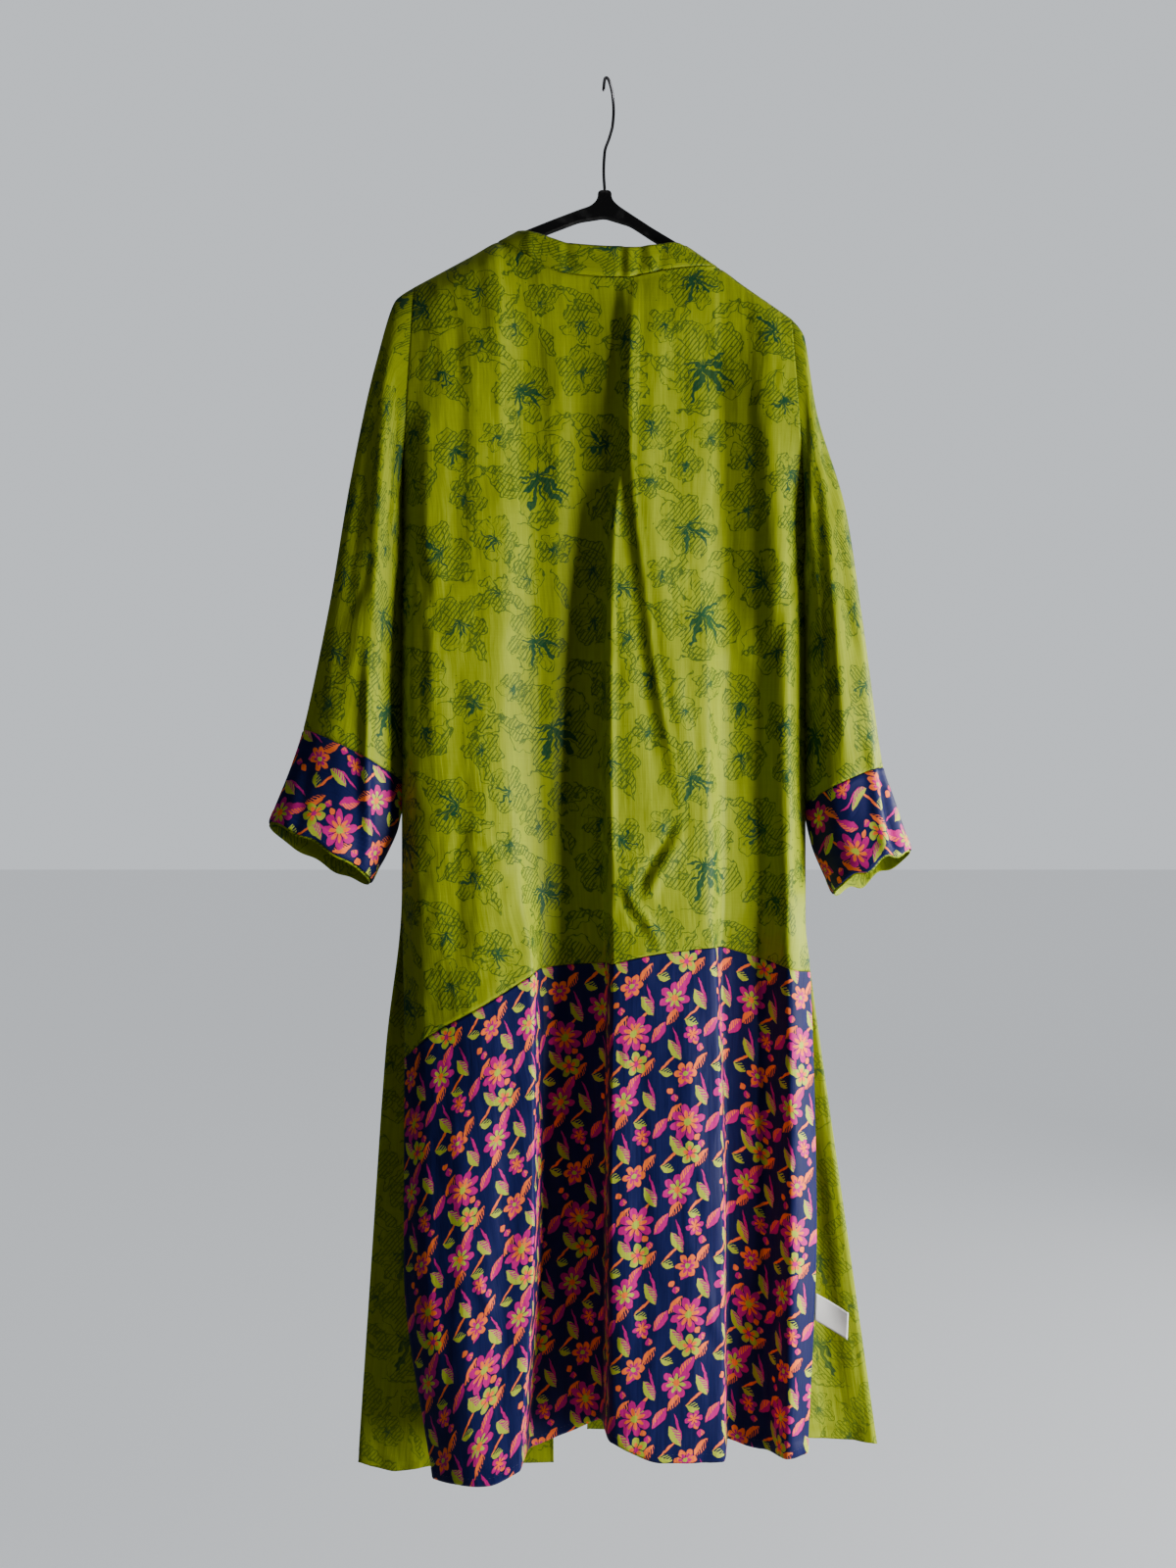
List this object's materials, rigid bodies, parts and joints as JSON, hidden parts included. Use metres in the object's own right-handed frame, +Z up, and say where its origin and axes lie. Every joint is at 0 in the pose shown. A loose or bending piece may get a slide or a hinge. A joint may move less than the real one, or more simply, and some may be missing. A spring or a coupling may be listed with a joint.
{
  "type": "kimono robe on a hanger",
  "caption": "Long open-fronted kimono robe with wide sleeves, deep cuffs and side slits, hung on a hanger by its shoulders.",
  "frame": {"origin": "inside of the hook's top, where a rail or nail bears", "axes": "+Z up along the hanging cloth, -Y towards the viewer of the garment's back, +X to that viewer's right"},
  "size_m": [0.653, 0.126, 1.4399],
  "materials": {
    "green_silk": "soft satin with a dark green line print",
    "navy_print_silk": "soft satin with a bright print",
    "facing_silk": "soft satin",
    "label_satin": "satin, bare",
    "hanger_plastic": "moulded, satin",
    "hook_steel": "dark wire"
  },
  "bodies": {
    "root": {"back_upper": "green_silk", "back_lower": "navy_print_silk", "front_left": "green_silk", "front_right": "green_silk", "neckband": "green_silk", "sleeve_left": "green_silk", "cuff_left": "navy_print_silk", "cuff_facing_left": "facing_silk", "sleeve_right": "green_silk", "cuff_right": "navy_print_silk", "cuff_facing_right": "facing_silk", "care_label": "label_satin", "hanger_body": "hanger_plastic", "hanger_hook": "hook_steel"}
  },
  "joints": []
}
